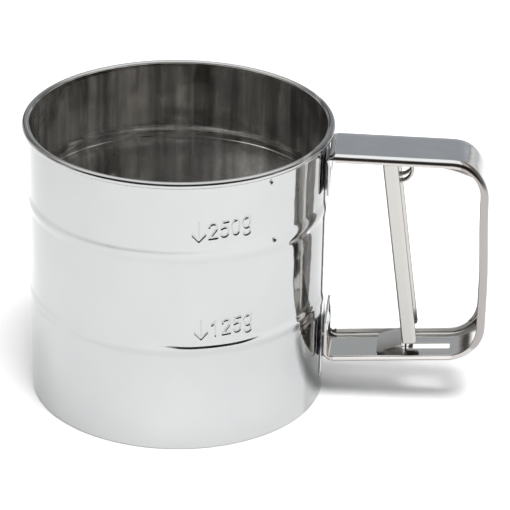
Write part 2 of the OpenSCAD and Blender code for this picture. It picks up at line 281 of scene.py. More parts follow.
def new_mesh(name, shape, scale=1.0):
    verts, faces = shape
    mesh = bpy.data.meshes.new(name)
    mesh.from_pydata((np.asarray(verts, float) * scale).tolist(), [],
                     [list(map(int, face)) for face in faces])
    return mesh


def make(name, shape, material, body, replaced, sharp=40):
    """Welded, smooth-shaded object; edges bent by more than `sharp` degrees stay sharp."""
    mesh = new_mesh(name, shape, MM)
    mesh.validate()
    bm = bmesh.new()
    bm.from_mesh(mesh)
    bmesh.ops.remove_doubles(bm, verts=bm.verts, dist=1e-7)
    bmesh.ops.recalc_face_normals(bm, faces=bm.faces)
    bm.to_mesh(mesh)
    bm.free()
    piece = add_object(name, mesh, material, body, replaced)
    mesh.set_sharp_from_angle(angle=sharp * D2R)
    return piece


def join(*shapes):
    verts, faces = [], []
    for part_verts, part_faces in shapes:
        offset = len(verts)
        verts.extend(part_verts)
        faces.extend([i + offset for i in face] for face in part_faces)
    return verts, faces


def placed(shape, rule):
    """The shape with each vertex moved to rule(x, y, z)."""
    verts, faces = shape
    return [rule(*vert) for vert in verts], faces


def turned(points, degrees):
    """Points (x, y) or (x, y, z) turned about Z."""
    c, s = math.cos(degrees * D2R), math.sin(degrees * D2R)
    return [(c * x - s * y, s * x + c * y, *rest) for x, y, *rest in points]


def smooth(t):
    t = np.clip(t, 0, 1)
    return t * t * (3 - 2 * t)


def bezier(start, control, end, t):
    return (1 - t) ** 2 * start + 2 * t * (1 - t) * control + t * t * end


def arc(cx, cy, rx, ry, start, end, count=14):
    angles = [(start + (end - start) * i / count) * D2R for i in range(count + 1)]
    return [(cx + rx * math.cos(a), cy + ry * math.sin(a)) for a in angles]


def circle(cx, cy, radius, count):
    return arc(cx, cy, radius, radius, 0, 360, count)[:-1]


def rounded_rect(x0, y0, x1, y1, radius):
    points = []
    corners = ((x1 - radius, y1 - radius), (x0 + radius, y1 - radius),
               (x0 + radius, y0 + radius), (x1 - radius, y0 + radius))
    for k, (cx, cy) in enumerate(corners):
        points += arc(cx, cy, radius, radius, 90 * k, 90 * k + 90, 6)
    return points


def rounded(profile, radius, steps=4):
    """Rounds the corners of a closed 2D profile. Corners at x <= 0 are left sharp."""
    out = []
    count = len(profile)
    for i in range(count):
        before, corner, after = (np.array(profile[(i + k) % count], float) for k in (-1, 0, 1))
        a, b = before - corner, after - corner
        length_a, length_b = np.linalg.norm(a), np.linalg.norm(b)
        if corner[0] < 1e-9 or min(length_a, length_b) < 1e-9:
            out.append(tuple(corner))
            continue
        a, b = a / length_a, b / length_b
        angle = math.acos(max(-1, min(1, float(a @ b))))
        if angle > 3.0:  # nearly straight
            out.append(tuple(corner))
            continue
        cut = min(radius / math.tan(angle / 2), length_a * 0.45, length_b * 0.45)
        for k in range(steps + 1):
            out.append(tuple(bezier(corner + a * cut, corner, corner + b * cut, k / steps)))
    return out


def loft_faces(rings, size, skip=(), closed=False):
    """Quads between successive rings of `size` points; skip holds (ring, point) pairs."""
    faces = []
    for ring in range(rings if closed else rings - 1):
        near, far = ring * size, (ring + 1) % rings * size
        for j in range(size):
            if (ring, j) not in skip:
                k = (j + 1) % size
                faces.append([near + j, near + k, far + k, far + j])
    return faces


def wire_faces(rings, size):
    last = (rings - 1) * size
    return loft_faces(rings, size) + [list(range(size))[::-1], list(range(last, last + size))]


def lathe(profile, segments):
    """Closed profile [(r, z)] turned about Z; points at r = 0 collapse to one."""
    verts, faces, rings = [], [], []
    for r, z in profile:
        if r < 1e-9:
            rings.append([len(verts)] * segments)
            verts.append((0, 0, z))
        else:
            rings.append(list(range(len(verts), len(verts) + segments)))
            for s in range(segments):
                a = 2 * math.pi * s / segments
                verts.append((r * math.cos(a), r * math.sin(a), z))
    for k, lower in enumerate(rings):
        upper = rings[(k + 1) % len(rings)]
        for s in range(segments):
            t = (s + 1) % segments
            face = list(dict.fromkeys([lower[s], lower[t], upper[t], upper[s]]))
            if len(face) > 2:
                faces.append(face)
    return verts, faces


def tube(points, radius, sides):
    """Round wire along the points, with domed ends."""
    points = np.asarray(points, float)
    along = np.gradient(points, axis=0)
    along /= np.linalg.norm(along, axis=1)[:, None]
    across = np.cross(along[0], [0, 0, 1.0])
    across /= np.linalg.norm(across)
    verts = []

    def ring(centre, axis, ring_radius):
        other = np.cross(axis, across)
        for s in range(sides):
            a = 2 * math.pi * s / sides
            verts.append(centre + ring_radius * (math.cos(a) * across + math.sin(a) * other))

    dome = ((0.35, 0.94), (0.75, 0.66))  # ring radius and reach, as shares of the radius
    for share, reach in dome:
        ring(points[0] - along[0] * radius * reach * 0.8, along[0], radius * share)
    for point, axis in zip(points, along):
        across = across - axis * (across @ axis)
        across /= np.linalg.norm(across)
        ring(point, axis, radius)
    for share, reach in dome[::-1]:
        ring(points[-1] + along[-1] * radius * reach * 0.8, along[-1], radius * share)
    return verts, wire_faces(len(points) + 2 * len(dome), sides)


def sheet(loops, thickness, bevel, z=0.0):
    """Outline and hole loops filled from z to z + thickness, with rounded edges."""
    curve = bpy.data.curves.new("sheet_outline", "CURVE")
    curve.dimensions = "2D"
    curve.fill_mode = "BOTH"
    for loop in loops:
        spline = curve.splines.new("POLY")
        spline.points.add(len(loop) - 1)
        for point, (x, y) in zip(spline.points, loop):
            point.co = (x, y, 0, 1)
        spline.use_cyclic_u = True
    curve.offset = -bevel
    curve.bevel_depth = bevel
    curve.bevel_resolution = 2
    curve.extrude = thickness / 2 - bevel
    holder = bpy.data.objects.new("sheet_outline", curve)
    scene.collection.objects.link(holder)
    bpy.context.view_layer.update()
    depsgraph = bpy.context.evaluated_depsgraph_get()
    mesh = bpy.data.meshes.new_from_object(holder.evaluated_get(depsgraph))
    verts = [(v.co.x, v.co.y, v.co.z + z + thickness / 2) for v in mesh.vertices]
    faces = [list(polygon.vertices) for polygon in mesh.polygons]
    bpy.data.objects.remove(holder)
    bpy.data.curves.remove(curve)
    bpy.data.meshes.remove(mesh)
    return verts, faces


# A channel ring runs over `count` outer points, three tip points, the inner points in
# reverse and three more tip points, so outer point j faces ring point 2 * count + 2 - j.
def channel_section(width, thickness, outer_r, inner_r, height, slot_half=None):
    """Outer and inner points (depth from the outer face, y) of a U channel."""
    outer, inner = [], []
    half = width / 2
    corner_steps = 6
    flange = list(np.linspace(height - 0.25, outer_r + 0.001, 4))
    for d in flange:
        outer.append((d, -half))
        inner.append((d, -half + thickness))
    for k in range(1, corner_steps + 1):
        c, s = (f(90 * k / corner_steps * D2R) for f in (math.cos, math.sin))
        outer.append((outer_r - outer_r * s, -half + outer_r - outer_r * c))
        inner.append((thickness + inner_r - inner_r * s,
                      -half + thickness + inner_r - inner_r * c))
    web = list(np.linspace(-half + outer_r, half - outer_r, 9))[1:-1]
    if slot_half:
        web = [y for y in web if abs(abs(y) - slot_half) > 0.6]
        web = sorted(web + [-slot_half, slot_half])
    for y in web:
        outer.append((0, y))
        inner.append((thickness, y))
    for k in range(corner_steps):
        c, s = (f(90 * k / corner_steps * D2R) for f in (math.cos, math.sin))
        outer.append((outer_r - outer_r * c, half - outer_r + outer_r * s))
        inner.append((thickness + inner_r - inner_r * c,
                      half - thickness - inner_r + inner_r * s))
    for d in np.linspace(outer_r + 0.001, height - 0.25, 4):
        outer.append((d, half))
        inner.append((d, half - thickness))
    return outer, inner


def channel_ring(outer, inner, height):
    """The section as one closed loop, with rounded flange tips."""
    outer_half, inner_half = abs(outer[0][1]), abs(inner[0][1])
    middle = (outer_half + inner_half) / 2
    bulge = 0.32 * (outer_half - inner_half)
    tip = [(height - 0.07, middle + bulge), (height, middle), (height - 0.07, middle - bulge)]
    return outer + tip + inner[::-1] + [(d, -y) for d, y in tip[::-1]]


def wall_quads(base, first, last, count):
    """Quads across the sheet between outer points first..last and those they face."""
    facing = base + 2 * count + 2
    return [[base + j, base + j + 1, facing - j - 1, facing - j] for j in range(first, last)]


def channel_ends(rings, count):
    faces = []
    for base in (0, (rings - 1) * (2 * count + 6)):
        faces += wall_quads(base, 0, count - 1, count)
        faces.append([base + count - 1 + i for i in range(5)])
        faces.append([base + 2 * count + 2 + i for i in range(4)] + [base])
    return faces


# ---------------------------------------------------------------- cup
CUP_R, CUP_H, WALL = 48.1, 93.8, 0.5
RIM_R, RIM_CURL_R = 50, 1.15
FOOT_CURL_R = 0.35
LAP_HALF = 7.9  # half-angle of the raised lap strip on the +X side, degrees
WINDOW_Y, WINDOW_Z0, WINDOW_Z1 = 5.6, 12.6, 14.4
UPPER_BEAD_Z, LOWER_BEAD_Z = 68.0, 35.9
MM_PER_DEGREE = CUP_R * D2R
WINDOW_HALF = math.degrees(math.asin(WINDOW_Y / CUP_R))
MARK_AZ = -83.5  # azimuth from which the marks are set out

# strokes of each stamped character, (across, up)
GLYPHS = {
    "2": [arc(1.35, 3.45, 1.3, 1.25, 165, -35) + [(0.1, 0.0)], [(0.1, 0.0), (2.7, 0.0)]],
    "5": [[(2.5, 4.7), (0.55, 4.7), (0.3, 2.7)] + arc(1.3, 1.5, 1.3, 1.5, 125, -150)],
    "0": [arc(1.35, 2.35, 1.3, 2.35, 0, 360, 28)],
    "1": [[(0.3, 3.6), (1.5, 4.7), (1.5, 0.0)]],
    "g": [arc(1.35, 3.0, 1.3, 1.65, 0, 360, 24),
          [(2.65, 4.6), (2.65, 0.5)] + arc(1.35, 0.35, 1.3, 1.25, 0, -150)],
}
CHAR_PITCH, CHAR_STRETCH = 3.7, 1.04


def mark_segments(text, arrow_az, tip_z, text_az, text_z, tilt):
    """Segments (u0, z0, u1, z1) of a down arrow and its text, u being arc length on the wall."""
    u = arrow_az * MM_PER_DEGREE
    strokes = [[(u, tip_z + 6.2), (u, tip_z + 0.1)],
               [(u - 2.0, tip_z + 2.1), (u, tip_z), (u + 2.0, tip_z + 2.1)]]
    u = text_start = text_az * MM_PER_DEGREE
    for char in text:
        for line in GLYPHS[char]:
            strokes.append([(u + x, text_z + y * CHAR_STRETCH + tilt * (u + x - text_start))
                            for x, y in line])
        u += CHAR_PITCH
    return [(*p, *q) for stroke in strokes for p, q in zip(stroke[:-1], stroke[1:])]


MARKS = (mark_segments("250g", arrow_az=MARK_AZ + 7.6, tip_z=73.4,
                       text_az=MARK_AZ + 11.3, text_z=74.0, tilt=0.06)
         + mark_segments("125g", arrow_az=MARK_AZ + 8.7, tip_z=39.5,
                         text_az=MARK_AZ + 12.4, text_z=40.2, tilt=0.04))


def stamp_depth(u, z):
    """Depth of the stamped marks at arc lengths u and heights z."""
    margin = 1.5
    nearest = np.full(u.shape, 9.0)
    for u0, z0, u1, z1 in MARKS:
        du, dz = u1 - u0, z1 - z0
        near = ((u > min(u0, u1) - margin) & (u < max(u0, u1) + margin)
                & (z > min(z0, z1) - margin) & (z < max(z0, z1) + margin))
        if not near.any():
            continue
        t = np.clip(((u[near] - u0) * du + (z[near] - z0) * dz) / (du * du + dz * dz), 0, 1)
        distance = np.hypot(u[near] - u0 - t * du, z[near] - z0 - t * dz)
        nearest[near] = np.minimum(nearest[near], distance)
    return 0.25 * (1 - smooth((nearest - 0.04) / 0.54))


def sheet_waves(azimuth, z):
    """Slight waviness of the rolled sheet, in mm."""
    a = azimuth * D2R
    return (0.030 * np.sin(3 * a + 0.7) * np.sin(z / 19 + 0.4)
            + 0.022 * np.sin(7 * a + 1.9 + z / 23)
            + 0.012 * np.sin(13 * a - z / 9 + 2.1) * np.sin(z / 11 + 1.0)
            + 0.006 * np.sin(29 * a + z / 5))


def inside_ripple(azimuth, z):
    """Upright ripples on the inner face."""
    a = azimuth * D2R
    ripple = (0.030 * np.sin(11 * a + 1.3) + 0.016 * np.sin(19 * a + 0.2 + z / 60)
              + 0.011 * np.sin(31 * a + 2.2) + 0.008 * np.sin(47 * a + 4.0 - z / 40)
              + 0.004 * np.sin(71 * a + 1.0))
    return ripple * smooth((z - 14) / 10) * smooth((92 - z) / 5)


def roller_track(azimuth, z):
    """The roller's narrow track inside the upper bead."""
    a = azimuth * D2R
    off = np.abs(z - UPPER_BEAD_Z - 0.12 * np.sin(a * 3 + 1.0) - 0.05 * np.sin(a * 13))
    return (0.20 + 0.06 * np.sin(a * 5 + 2.0)) * (1 - smooth((off - 1.15) / 0.42))


def beads(azimuth, z):
    """Upper bead soft all round; the lower one's top edge is crisp on the marked side."""
    def hump(t, low, high):
        return 0.5 + 0.5 * np.cos(np.clip(t, low, high) * math.pi)

    crisp = smooth((azimuth + 92) / 14) * (1 - smooth((azimuth + 62) / 18))
    upper_half = 3.2 - 0.5 * np.sin(azimuth * D2R * 2)
    upper = 0.40 * hump((z - UPPER_BEAD_Z) / upper_half, -1, 1)
    rise = z - LOWER_BEAD_Z
    lower = 0.36 * np.where(rise < 0, hump(rise / 3.0, -1, 0),
                            hump(rise / (2.7 - 1.5 * crisp), 0, 1))
    return upper + lower


def cup_azimuths():
    """Columns around the wall, closer at the marks, the pits and the lap's edges."""
    step = 1.25
    fine = 0.2
    columns = [a for a in np.arange(-180, 180, step)
               if not (-78.9 < a < -53) and not (-48.1 < a < -43.9)]
    columns += list(np.arange(-78.8, -53, fine)) + list(np.arange(-48, -43.9, 0.22))
    columns = [a for a in columns
               if min(abs(abs(a) - WINDOW_HALF), abs(abs(a) - LAP_HALF - 0.3) - 0.35) > 0.3]
    columns += [-WINDOW_HALF, WINDOW_HALF]
    columns += [side * (LAP_HALF + offset) for side in (-1, 1)
                for offset in (0.74, 0.58, 0.45, 0.32, 0.2, 0.1, -0.04, -0.25)]
    return np.array(sorted(columns))


def cup_rows():
    """Rows (radius, z, side): up the outside, over the rim, down the inside, round the hem."""
    low_levels = [6, 8, 10, WINDOW_Z0, WINDOW_Z1, 16.5, 19, 22, 25, 28, 31]
    fine = 0.2
    outer_z = np.unique(np.round(np.concatenate([
        [0.6, 1.3, 1.55, 1.75, 2.0, 4], low_levels,
        np.arange(32.4, 37.6, 0.2), np.arange(37.6, 46.6, fine), np.arange(47.5, 65, 1.75),
        np.arange(65, 71.4, 0.3), np.arange(71.4, 80.2, fine), np.arange(81, 89, 1.2),
        np.arange(89, 91.9, 0.24), [91.9]]), 4))
    inner_z = np.unique(np.round(np.concatenate([
        [4.4], low_levels, np.arange(32.4, 37.9, 0.35), np.arange(39.5, 65, 2.2),
        np.arange(65, 71.4, 0.35), np.arange(66.1, 70.0, 0.13), np.arange(72.5, 91, 1.6),
        [91.9]]), 4))
    rows = []
    for t in np.linspace(0, 90, 6):
        rows.append((CUP_R - FOOT_CURL_R + FOOT_CURL_R * math.sin(t * D2R),
                     FOOT_CURL_R - FOOT_CURL_R * math.cos(t * D2R), "fold"))
    rows += [(CUP_R, z, "out") for z in outer_z]
    curl_x, curl_z = RIM_R - RIM_CURL_R, CUP_H - RIM_CURL_R
    # the curl returns to the wall underneath
    curl_start = math.degrees(math.acos((CUP_R + 0.02 - curl_x) / RIM_CURL_R))
    for t in np.linspace(-curl_start + 2, 150, 30):
        rows.append((curl_x + RIM_CURL_R * math.cos(t * D2R),
                     curl_z + RIM_CURL_R * math.sin(t * D2R), "fold"))
    inner_r = CUP_R - WALL
    rows.append((inner_r + 0.08, CUP_H - 0.62, "fold"))
    rows.append((inner_r, CUP_H - 1.1, "in"))
    rows += [(inner_r, z, "in") for z in inner_z[::-1]]
    hem_r = CUP_R - 2 * WALL
    rows += [(r, z, "fold") for r, z in (
        (inner_r - 0.02, 4.02), (inner_r - 0.15, 4.15), (hem_r + 0.15, 4.15), (hem_r, 4.0),
        (hem_r, 2.0), (hem_r, 0.3), (hem_r + 0.12, 0.08), (hem_r + 0.3, 0.0))]
    return rows


def cup_radii(radius, azimuth, z, outside, inside):
    """Wall radius with waves, beads, marks, pits and the lap strip added."""
    wall = sheet_waves(azimuth, z) * (smooth((z - 1.5) / 8) * smooth((92.5 - z) / 6))
    marks = np.zeros_like(radius)
    marked = ((azimuth > -80) & (azimuth < -51)
              & (((z > 71) & (z < 80.5)) | ((z > 37) & (z < 46.8))))
    marks[marked] = stamp_depth(azimuth[marked] * MM_PER_DEGREE, z[marked])
    # the sheet dips broadly where the marks were struck
    for dip_z in (75.4, 42.0):
        across = (azimuth - (MARK_AZ + 19)) * MM_PER_DEGREE / 11
        wall -= 0.05 * np.exp(-(across ** 2 + ((z - dip_z) / 4.5) ** 2))
    wall += beads(azimuth, z)
    # two small pits in the sheet
    for pit_az, pit_z in ((-45.34, 69.6), (-47.01, 89.63)):
        square = ((azimuth - pit_az) * MM_PER_DEGREE) ** 2 + (z - pit_z) ** 2
        wall -= 0.5 * np.exp(-(square / 0.6 ** 2) ** 1.5)
    # raised lap strip with a groove along each side
    side = np.abs(azimuth)
    ends = smooth((z - 7.7) / 0.4) * smooth((91.6 - z) / 0.5)
    lap = (smooth((LAP_HALF + 0.02 - side) / 0.13) * ends
           * (0.4 + 0.14 * smooth((side - 7) / 3)))
    lap = lap - 0.26 * ends * np.exp(-((side - LAP_HALF - 0.34) / 0.22) ** 2)
    hem_line = 0.05 * np.exp(-((z - 1.65) / 0.16) ** 2)
    wall = wall + np.where(inside, inside_ripple(azimuth, z) + roller_track(azimuth, z), 0)
    return (radius + np.where(outside, wall - marks + lap - hem_line, 0)
            + np.where(inside, (wall - 0.9 * marks) * smooth((z - 5) / 3), 0))


def cup_faces(rows, columns):
    """Quads of the shell, with the window cut through both faces and walled in."""
    size = len(columns)

    def row_at(side, z):
        return next(i for i, row in enumerate(rows) if row[2] == side and abs(row[1] - z) < 1e-3)

    out_low, out_high = row_at("out", WINDOW_Z0), row_at("out", WINDOW_Z1)
    in_low, in_high = row_at("in", WINDOW_Z0), row_at("in", WINDOW_Z1)
    window = [j for j in range(size) if abs(columns[j]) <= WINDOW_HALF + 1e-6]
    first, last = window[0], window[-1]
    skip = {(i, j) for j in range(first, last)
            for i in (*range(out_low, out_high), *range(in_high, in_low))}
    faces = loft_faces(len(rows), size, skip, closed=True)
    for j in range(first, last):
        for outer, inner in ((out_low, in_low), (out_high, in_high)):
            faces.append([outer * size + j, outer * size + j + 1,
                          inner * size + j + 1, inner * size + j])
    for j in (first, last):
        faces.append([row * size + j for row in (out_low, out_high, in_high, in_low)])
    return faces


def paint_cup(cup):
    """Material slots: 1 inner face, 2 grooves beside the lap in painted shade, 3 lap strip."""
    for material in (M_inside, M_groove_shade, M_lap):
        cup.data.materials.append(material)
    lap_edge = LAP_HALF - 0.14
    for face in cup.data.polygons:
        c, normal = face.center, face.normal
        side = abs(math.degrees(math.atan2(c.y, c.x)))
        radius = math.hypot(c.x, c.y)
        if radius > (CUP_R - 0.35) * MM and 0.0078 < c.z < 0.0915:
            if side < lap_edge:
                face.material_index = 3
            # the grooves beside the lap take the painted shade
            if lap_edge < side < LAP_HALF + 1.9:
                face.material_index = 2
        in_bead = 0.064 < c.z < 0.072 or 0.032 < c.z < 0.039
        inner_limit = (CUP_R - 0.28 + (0.45 if in_bead else 0)) * MM
        if radius < inner_limit and normal.x * c.x + normal.y * c.y < 0:
            face.material_index = 1


def build_cup():
    columns = cup_azimuths()
    rows = cup_rows()
    azimuth, z = np.meshgrid(columns, [row[1] for row in rows])
    radius = np.meshgrid(columns, [row[0] for row in rows])[1]
    outside, inside = (np.array([row[2] == side for row in rows])[:, None]
                       for side in ("out", "in"))
    radius = cup_radii(radius, azimuth, z, outside, inside)
    verts = np.stack([radius * np.cos(azimuth * D2R), radius * np.sin(azimuth * D2R), z], -1)
    cup = make("cup_shell", (verts.reshape(-1, 3), cup_faces(rows, columns)), M_cup, "root",
               ("cup_body", "lap_seam_strip"), sharp=35)
    paint_cup(cup)


build_cup()

# ---------------------------------------------------------------- handle strap
STRAP_W, STRAP_T, STRAP_H = 20.0, 0.7, 2.5  # channel width, sheet, height of the edges
SLOPE = 4.2 * D2R  # rise of the strap's floor towards +X
FLOOR_ANGLE = math.degrees(SLOPE) - 90  # direction of the floor's outward normal
LEG_X, GRIP_X, STRAP_TOP = 48.5, 101.0, 88.0
TOP_LEG_R, TOP_GRIP_R, LOW_GRIP_R, LOW_LEG_R = 2.4, 13.7, 12.5, 3.5
SLOT_X0, SLOT_X1, SLOT_HALF = 74.1, 90.0, 1.6  # slot in the floor for the trigger's tab
FLOOR_NORMAL = np.array([math.cos(SLOPE - math.pi / 2), math.sin(SLOPE - math.pi / 2)])
# bend centres (x, z) at the floor's two ends
LOW_GRIP_C = np.array([GRIP_X - LOW_GRIP_R, 29.16])
LOW_LEG_X = LEG_X + LOW_LEG_R
LOW_LEG_C = np.array([LOW_LEG_X, (LOW_GRIP_C @ FLOOR_NORMAL + LOW_GRIP_R - LOW_LEG_R
                                  - LOW_LEG_X * FLOOR_NORMAL[0]) / FLOOR_NORMAL[1]])


def floor_z(x):
    """Height of the strap floor's underside."""
    start = LOW_GRIP_C + LOW_GRIP_R * FLOOR_NORMAL
    return start[1] + (x - start[0]) * math.tan(SLOPE)


def strap_path():
    """Stations (x, z, outward normal angle) on the outer face, from the upper leg round."""
    def straight(start, end, angle, pieces):
        return [(start[0] + (end[0] - start[0]) * t, start[1] + (end[1] - start[1]) * t, angle)
                for t in (i / pieces for i in range(pieces + 1))]

    def bend(cx, cz, radius, start, end):
        pieces = max(6, int(abs(end - start) / 2.5))
        angles = [start + (end - start) * i / pieces for i in range(1, pieces)]
        return [(cx + radius * math.cos(a * D2R), cz + radius * math.sin(a * D2R), a)
                for a in angles]

    floor_x = [(LOW_GRIP_C + LOW_GRIP_R * FLOOR_NORMAL)[0], 86.0, 82.0, 78.0, SLOT_X0,
               70, 66, 62, 58, 55, (LOW_LEG_C + LOW_LEG_R * FLOOR_NORMAL)[0]]
    top_leg_z, top_grip_z = STRAP_TOP - TOP_LEG_R, STRAP_TOP - TOP_GRIP_R
    return (
        straight((LEG_X, 74.0), (LEG_X, top_leg_z), 180, 8)
        + bend(LEG_X + TOP_LEG_R, top_leg_z, TOP_LEG_R, 180, 90)
        + straight((LEG_X + TOP_LEG_R, STRAP_TOP), (GRIP_X - TOP_GRIP_R, STRAP_TOP), 90, 16)
        + bend(GRIP_X - TOP_GRIP_R, top_grip_z, TOP_GRIP_R, 90, 0)
        + straight((GRIP_X, top_grip_z), (GRIP_X, LOW_GRIP_C[1]), 0, 14)
        + bend(*LOW_GRIP_C, LOW_GRIP_R, 0, FLOOR_ANGLE)
        + [(x, floor_z(x), FLOOR_ANGLE) for x in floor_x]
        + bend(*LOW_LEG_C, LOW_LEG_R, FLOOR_ANGLE, -180)
        + straight((LEG_X, LOW_LEG_C[1]), (LEG_X, 28.5), -180, 9))


def strap_height(z, angle):
    """Height of the turned edges, which shrink to a low lip on the legs."""
    if angle >= 90:
        lip = STRAP_H - (STRAP_H - 1.05) * float(smooth((angle - 100) / 70))
        return lip - (0.15 * float(smooth((78 - z) / 3)) if angle > 179.9 else 0)
    if abs(angle) < 60:
        swell = 0.35 * float(smooth((60 - abs(angle)) / 50))
        return STRAP_H + swell - (0.45 * math.sin(angle * 3 * D2R) if angle > 0 else 0.0)
    if angle < -86:
        lip = STRAP_H - (STRAP_H - 1.2) * float(smooth((-angle - 96) / 70))
        return lip - (0.25 * float(smooth((z - 21) / 7)) if angle < -179.9 else 0)
    return STRAP_H


def strap_warp(x, y, z, depth, angle):
    """Fits the legs to the wall and adds the marks of hand forming."""
    turn = 0.0  # share of the bend into a leg, 1 on the leg itself
    if angle >= 90:
        turn = (angle - 90) / 90
    elif angle < FLOOR_ANGLE:
        turn = (FLOOR_ANGLE - angle) / (FLOOR_ANGLE + 180)
    # the legs lie almost flat against the round wall
    on_leg = smooth(turn)
    if angle > 0:
        sag = LEG_X - math.sqrt(LEG_X * LEG_X - y * y)
        x = x - on_leg * sag * (0.12 + 0.8 * float(smooth((z - 84.6) / 2.4))) + on_leg * 0.03
    else:
        x = x + on_leg * 0.33
    # pinched turned edges at the tight bends
    if depth > 1.2:
        pinch = math.sin(turn * math.pi) * math.sin(turn * math.pi * 3)
        pinch *= 0.35 if angle > 0 else 1.0
        y = y - math.copysign(0.32 * pinch * (depth - 1.2) / 1.3, y)
    # the grip draws in a little under its upper bend
    x = x - 1.2 * float(smooth((z - 42) / 33)) * float(smooth((x - 90) / 9))
    # slightly uneven edge along the top and the floor
    if depth > 1.5 and (abs(angle - 90) < 1 or angle < -80):
        z = z + 0.04 * math.sin(x * 0.31)
    return x, y, z


def strap_shape():
    path = strap_path()
    outer, inner = channel_section(STRAP_W, STRAP_T, 1.9, 1.2, STRAP_H, SLOT_HALF)
    ring = channel_ring(outer, inner, STRAP_H)
    # The legs' tightly folded ring has a few more points. zip leaves off its surplus.
    leg_ring = channel_ring(
        *channel_section(STRAP_W, STRAP_T, 0.4, 0.1, STRAP_H, SLOT_HALF), STRAP_H)
    count, size = len(outer), len(ring)
    verts = []
    for x, z, angle in path:
        nx, nz = math.cos(angle * D2R), math.sin(angle * D2R)
        flange = (strap_height(z, angle) - STRAP_T) / (STRAP_H - STRAP_T)
        leg = float(smooth((abs(angle) - 120) / 55))
        for (d, y), (leg_d, leg_y) in zip(ring, leg_ring):
            d, y = d + (leg_d - d) * leg, y + (leg_y - y) * leg
            if d > STRAP_T:
                d = STRAP_T + (d - STRAP_T) * flange
            verts.append(strap_warp(x - d * nx, y, z - d * nz, d, angle))
    # slot in the floor
    stations = [s for s, (x, _, angle) in enumerate(path)
                if -90 < angle < -80 and SLOT_X0 - 0.01 <= x <= SLOT_X1 + 0.01]
    start, end = stations[0], stations[-1]
    near, far = [j for j in range(count)
                 if abs(abs(outer[j][1]) - SLOT_HALF) < 1e-6 and outer[j][0] == 0]
    facing = 2 * count + 2
    skip, walls = set(), []
    for s in range(start, end):
        skip |= {(s, j) for j in (*range(near, far), *range(facing - far, facing - near))}
        for j in (near, far):
            walls.append([s * size + j, (s + 1) * size + j,
                          (s + 1) * size + facing - j, s * size + facing - j])
    for s in (start, end):
        walls += wall_quads(s * size, near, far, count)
    return verts, loft_faces(len(path), size, skip) + walls + channel_ends(len(path), count)


def paint_strap(strap):
    """Material slots: 1 edges, 2 inner web, 3 grip edges in painted shade, 4 floor's +Y lip, 5 -Y
    lip, 6 fold in painted shade.
    """
    for material in (M_edge, M_inner, M_grip_shade, M_lip, M_near, M_fold_shade):
        strap.data.materials.append(material)
    loop_centre = Vector((0.0745, 0, 0.051))
    half = STRAP_W / 2
    for face in strap.data.polygons:
        c = face.center
        height = c.z - floor_z(c.x / MM) * MM
        low = c.z < 0.024 and c.x > 0.053
        # the grip's edges take the painted shade
        if c.x > 0.0905 and c.z > 0.022 and abs(c.y) > (half - 1.7) * MM:
            face.material_index = 3
        # the near fold takes the painted shade
        elif low and c.x < 0.0905 and c.y < -(half - 2.0) * MM and height < 0.0010:
            face.material_index = 6
        elif low and c.x < 0.0905 and c.y < -(half - 0.45) * MM:
            face.material_index = 5
        elif low and c.y > (half - 0.9) * MM and face.normal.y < 0.3 and height > 0.0008:
            face.material_index = 4
        elif abs(c.y) > (half - 0.45) * MM:
            face.material_index = 1
        elif abs(c.y) < (half - 1.2) * MM and face.normal.dot(loop_centre - c) > 0:
            face.material_index = 2


paint_strap(make("handle_strap_shell", strap_shape(), M_strap, "root",
                 ("handle_strap",), sharp=50))

# ---------------------------------------------------------------- trigger
PIVOT_X, PIVOT_Z, LEAN = 68.9, 82.3, 7.86 * D2R
TRIGGER_W, TRIGGER_T, TRIGGER_H = 14.0, 0.6, 4.9
WEB_FACE = -3.03  # outer face of the web, across from the pivot
WEB_MIDDLE = WEB_FACE + TRIGGER_T / 2
DOWN = np.array([math.sin(LEAN), -math.cos(LEAN)])
ACROSS = np.array([math.cos(LEAN), math.sin(LEAN)])


def trigger_point(across, down, y):
    """Point in the leaning trigger's own directions, measured from the pivot."""
    x, z = np.array([PIVOT_X, PIVOT_Z]) + ACROSS * across + DOWN * down
    return np.array([x, y, z])


def trigger_channel():
    outer, inner = channel_section(TRIGGER_W, TRIGGER_T, 1.0, 0.4, TRIGGER_H)
    ring = channel_ring(outer, inner, TRIGGER_H)
    stations = [-3.0, -2.85, -2.4, -1.5, 0, 1.5, 4, *np.arange(8, 60, 4), 60.2, 61.1, 61.4, 61.5]
    corner = 1.2  # radius of the flanges' corners at both ends
    verts = []
    for down in stations:
        past = max(0.0, -1.8 - down, down - 60.3)
        cut = corner * (1 - math.sqrt(max(0, 1 - (past / corner) ** 2)))
        for d, y in ring:
            depth = min(d, TRIGGER_H - cut) if d > 1.2 else d
            ripple = 0.03 * math.sin(down * 0.11) * (d > 2)
            verts.append(trigger_point(WEB_FACE + depth + ripple, down, y))
    faces = loft_faces(len(stations), len(ring)) + channel_ends(len(stations), len(outer))
    return verts, faces


def strip(path, half_widths, half_thickness, radius):
    """Flat strip along (x, z) points, its width along Y."""
    path = np.array(path)
    along = np.gradient(path, axis=0)
    along /= np.linalg.norm(along, axis=1)[:, None]
    verts = []
    for (x, z), (dx, dz), w in zip(path, along, half_widths):
        t = half_thickness
        for y, d in rounded([(-w, -t), (w, -t), (w, t), (-w, t)], radius, 3):
            verts.append((x - dz * d, y, z + dx * d))
    size = len(verts) // len(path)
    last = len(verts) - size
    return verts, loft_faces(len(path), size) + [list(range(size)),
                                                 list(range(last, last + size))]


